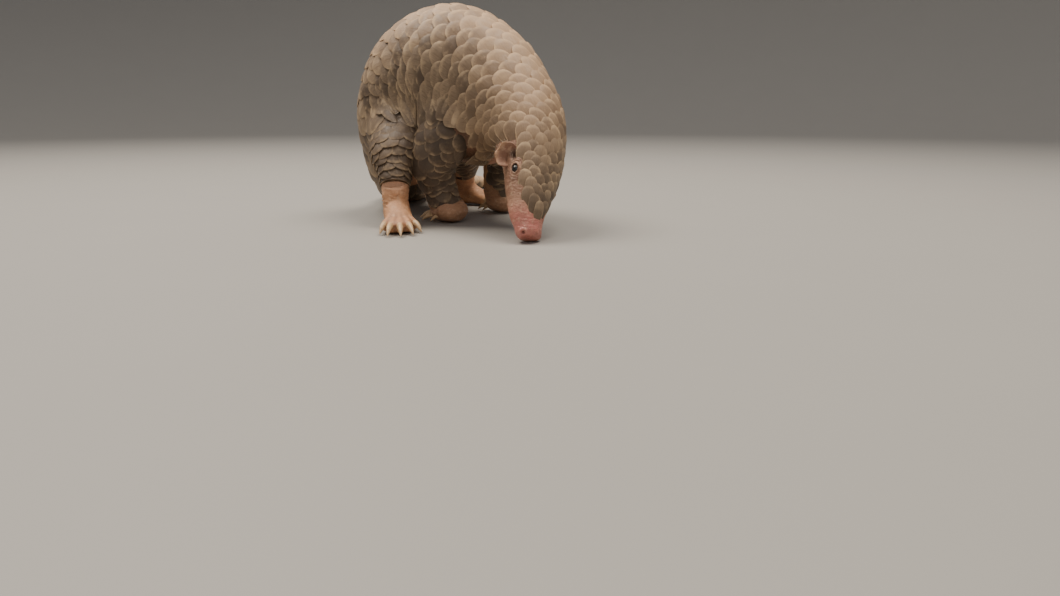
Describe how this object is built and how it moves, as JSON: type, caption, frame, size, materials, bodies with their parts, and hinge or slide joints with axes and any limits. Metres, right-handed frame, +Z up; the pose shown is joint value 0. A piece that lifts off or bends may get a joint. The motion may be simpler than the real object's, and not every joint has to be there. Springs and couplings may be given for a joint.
{
  "type": "pangolin",
  "caption": "Standing Chinese pangolin as a still life-size model, back arched, nose to the floor and tail laid out, covered in overlapping scales.",
  "frame": {"origin": "middle of the bounding box, on the floor that the animal stands on", "axes": "+Z up; the trunk faces -Y, so the animal's left side is +X and its head hangs down at -Y"},
  "size_m": [0.3074, 0.3443, 0.1847],
  "materials": {
    "scales": "dusty horn scales, matt",
    "skin": "bare wrinkled skin, matt",
    "claw": "worn horn, satin",
    "eye": "wet and dark, glossy"
  },
  "bodies": {
    "root": {"eye_right": "eye", "eye_left": "eye", "head": "skin", "ear_right": "skin", "ear_left": "skin", "neck": "scales", "torso_front": "scales", "torso_rear": "scales", "tail_root": "scales", "tail_base": "scales", "tail_middle": "scales", "tail_tip": "scales", "foreleg_right": "scales", "foreleg_left": "scales", "hindleg_right": "scales", "hindleg_left": "scales", "hindfoot_right": "skin", "claw_hind_right_1": "claw", "claw_hind_right_2": "claw", "claw_hind_right_3": "claw", "claw_hind_right_4": "claw", "claw_hind_right_5": "claw", "hindfoot_left": "skin", "claw_hind_left_1": "claw", "claw_hind_left_2": "claw", "claw_hind_left_3": "claw", "claw_hind_left_4": "claw", "claw_hind_left_5": "claw", "forefoot_right": "skin", "claw_fore_right_1": "claw", "claw_fore_right_2": "claw", "claw_fore_right_3": "claw", "claw_fore_right_4": "claw", "claw_fore_right_5": "claw", "forefoot_left": "skin", "claw_fore_left_1": "claw", "claw_fore_left_2": "claw", "claw_fore_left_3": "claw", "claw_fore_left_4": "claw", "claw_fore_left_5": "claw"}
  },
  "joints": []
}
